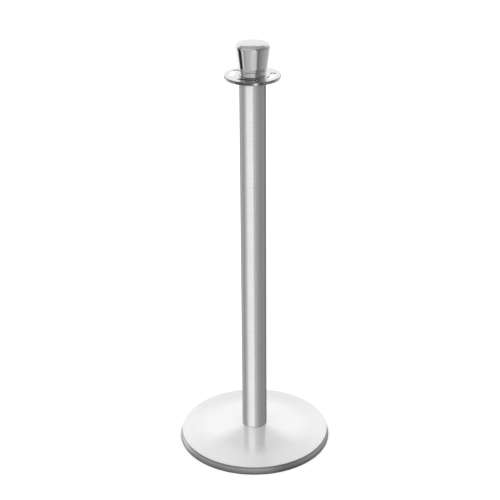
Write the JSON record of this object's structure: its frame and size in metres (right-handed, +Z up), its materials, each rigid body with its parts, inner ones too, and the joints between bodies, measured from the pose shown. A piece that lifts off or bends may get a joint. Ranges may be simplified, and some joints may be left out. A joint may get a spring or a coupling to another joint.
{
  "type": "rope stanchion",
  "caption": "Free-standing rope barrier post: weighted round base, plain round tube, slotted swivelling collar for rope hooks, and a tapered crown that screws on.",
  "frame": {"origin": "on the floor, under the middle of the round base", "axes": "+Z up the post, along the axis that base, tube, collar and crown are turned about; a collar slot is centred on each of +X, +Y, -X and -Y"},
  "size_m": [0.3698, 0.3698, 1.0114],
  "materials": {
    "floor_rubber": "moulded, matte black",
    "gasket_rubber": "smooth, dark grey",
    "cast_iron": "sand cast, painted black",
    "spun_steel": "spun stainless steel, fine circular grain, satin",
    "satin_tube": "stainless steel tube, fine grain around the tube, satin",
    "chrome_crown": "polished, mirror-like",
    "chrome_collar": "polished, mirror-like",
    "zinc_plated": "bright zinc plated steel",
    "turned_steel": "turned steel, lightly oiled",
    "nylon": "natural nylon, off-white"
  },
  "bodies": {
    "post": {"floor_ring": "floor_rubber", "base_weight": "cast_iron", "base_cover": "spun_steel", "base_bolt": "zinc_plated", "base_bolt_washer": "zinc_plated", "base_lock_washer": "zinc_plated", "foot_gasket": "gasket_rubber", "foot_plug": "turned_steel", "post_tube": "satin_tube", "top_plug": "turned_steel", "head_stud": "zinc_plated", "stud_washer": "zinc_plated", "stud_lock_washer": "zinc_plated", "stud_nut": "zinc_plated", "lower_washer": "nylon"},
    "collar": {"rope_ring": "chrome_collar", "ring_bush": "nylon"},
    "crown_washer": {"upper_washer": "nylon"},
    "crown": {"crown_shell": "chrome_crown", "crown_core": "turned_steel"}
  },
  "joints": [
    {"name": "collar_swivel", "type": "hinge", "parent": "post", "child": "collar", "pos_m": [0, 0, 0.9342], "axis": [0, 0, 1], "continuous": true},
    {"name": "crown_turn", "type": "hinge", "parent": "post", "child": "crown_washer", "pos_m": [0, 0, 0.9368], "axis": [0, 0, 1], "range_deg": [0, 1800]},
    {"name": "crown_lift", "type": "slide", "parent": "crown_washer", "child": "crown", "axis": [0, 0, 1], "range_m": [0, 0.00876]}
  ],
  "couplings": [
    {"joint": "crown_lift", "follows": "crown_turn", "m_per_rad": 0.00027852}
  ]
}
